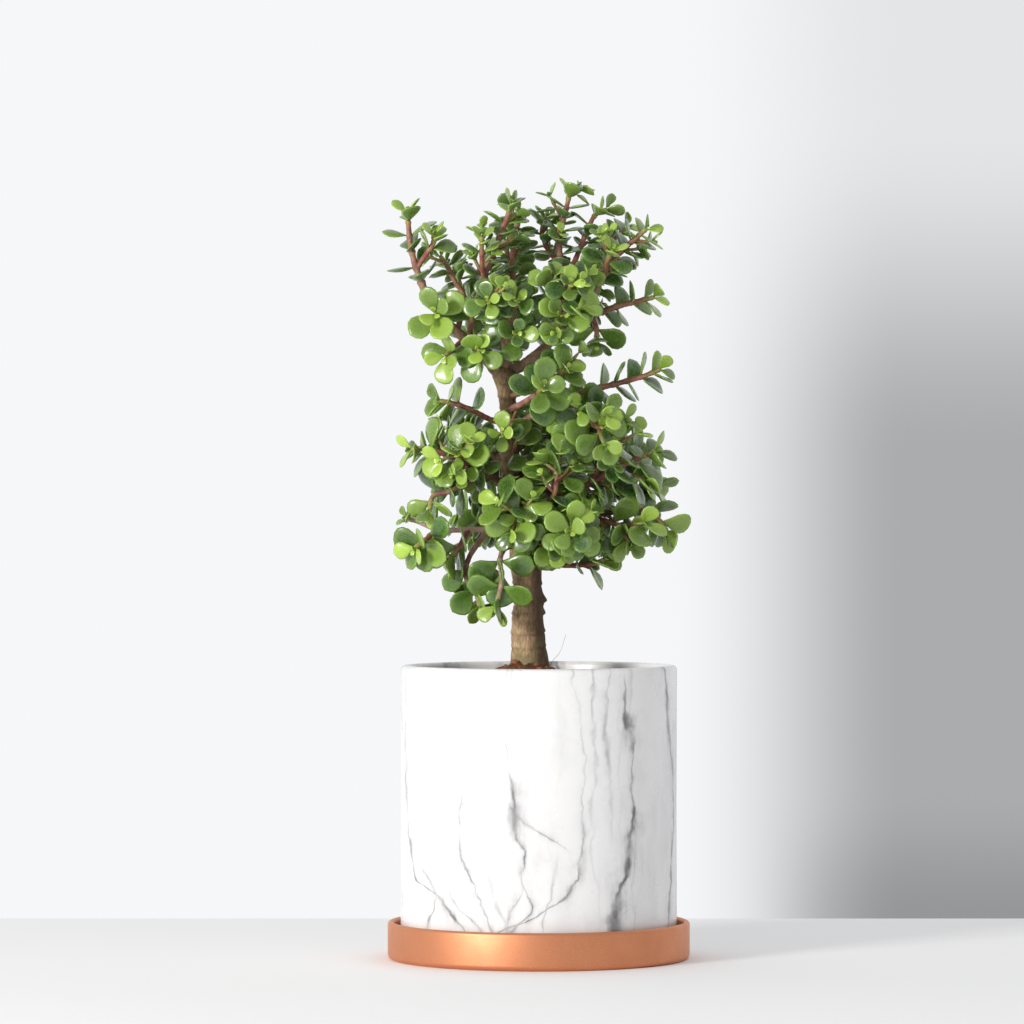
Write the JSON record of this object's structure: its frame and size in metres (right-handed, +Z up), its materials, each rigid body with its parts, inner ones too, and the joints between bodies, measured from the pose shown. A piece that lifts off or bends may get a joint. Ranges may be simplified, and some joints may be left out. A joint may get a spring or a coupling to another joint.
{
  "type": "potted jade plant",
  "caption": "Dwarf jade tree with fleshy round leaves in a marbled glazed cylinder pot on a satin copper saucer; stands on its flat underside.",
  "frame": {"origin": "centre of the saucer's underside, on the surface it stands on", "axes": "+Z up along the pot's axis, -Y towards the front, +X to the front viewer's right"},
  "size_m": [0.1536, 0.151, 0.3904],
  "materials": {
    "copper_paint": "satin metallic copper paint on a fired clay dish",
    "marbled_glaze": "white glaze with drawn-out grey marbling, semi-gloss",
    "potting_soil": "damp reddish brown crumbs of bark and peat",
    "bark": "smooth brown bark with leaf-scar rings",
    "leafy_branch": "fleshy, waxy green leaves on red-brown stems",
    "leaf_flesh": "waxy green leaf, darker when older, pale thin edge",
    "stem_skin": "young red-purple to brown stem"
  },
  "bodies": {
    "root": {"saucer": "copper_paint", "pot": "marbled_glaze", "soil": "potting_soil", "trunk": "bark", "crown_left": "leafy_branch", "crown_left_twig": "leafy_branch", "crown_left_back": "leafy_branch", "crown_left_front": "leafy_branch", "crown_left_low": "leafy_branch", "crown_left_under": "leafy_branch", "crown_left_spur": "leafy_branch", "crown_middle": "leafy_branch", "crown_middle_twig": "leafy_branch", "crown_middle_tall": "leafy_branch", "crown_middle_face": "leafy_branch", "crown_middle_heart": "leafy_branch", "crown_middle_low": "leafy_branch", "crown_right": "leafy_branch", "crown_right_low": "leafy_branch", "crown_upper": "leafy_branch", "crown_upper_mid": "leafy_branch", "crown_dome": "leafy_branch", "crown_dome_left": "leafy_branch", "crown_dome_right": "leafy_branch", "crown_dome_back": "leafy_branch", "crown_face": "leafy_branch", "crown_face_left": "leafy_branch", "crown_face_low": "leafy_branch", "crown_back_left": "leafy_branch", "crown_back": "leafy_branch", "crown_back_right": "leafy_branch", "collar_right": "leafy_branch", "collar_front": "leafy_branch", "collar_small": "leafy_branch", "middle_left_high": "leafy_branch", "right_high": "leafy_branch", "right_high_front": "leafy_branch", "right_long": "leafy_branch", "right_long_low": "leafy_branch", "right_long_up": "leafy_branch", "right_back": "leafy_branch", "right_low": "leafy_branch", "right_low_inner": "leafy_branch", "front_spray": "leafy_branch", "front_heart": "leafy_branch", "front_right": "leafy_branch", "lowest_right": "leafy_branch", "middle_left": "leafy_branch", "middle_left_front": "leafy_branch", "middle_left_low": "leafy_branch", "left_long": "leafy_branch", "left_long_drop": "leafy_branch", "left_long_under": "leafy_branch", "lowest_left": "leafy_branch", "front_drop": "leafy_branch", "back_left": "leafy_branch", "back_right": "leafy_branch", "back_low": "leafy_branch", "back_low_right": "leafy_branch"}
  },
  "joints": []
}
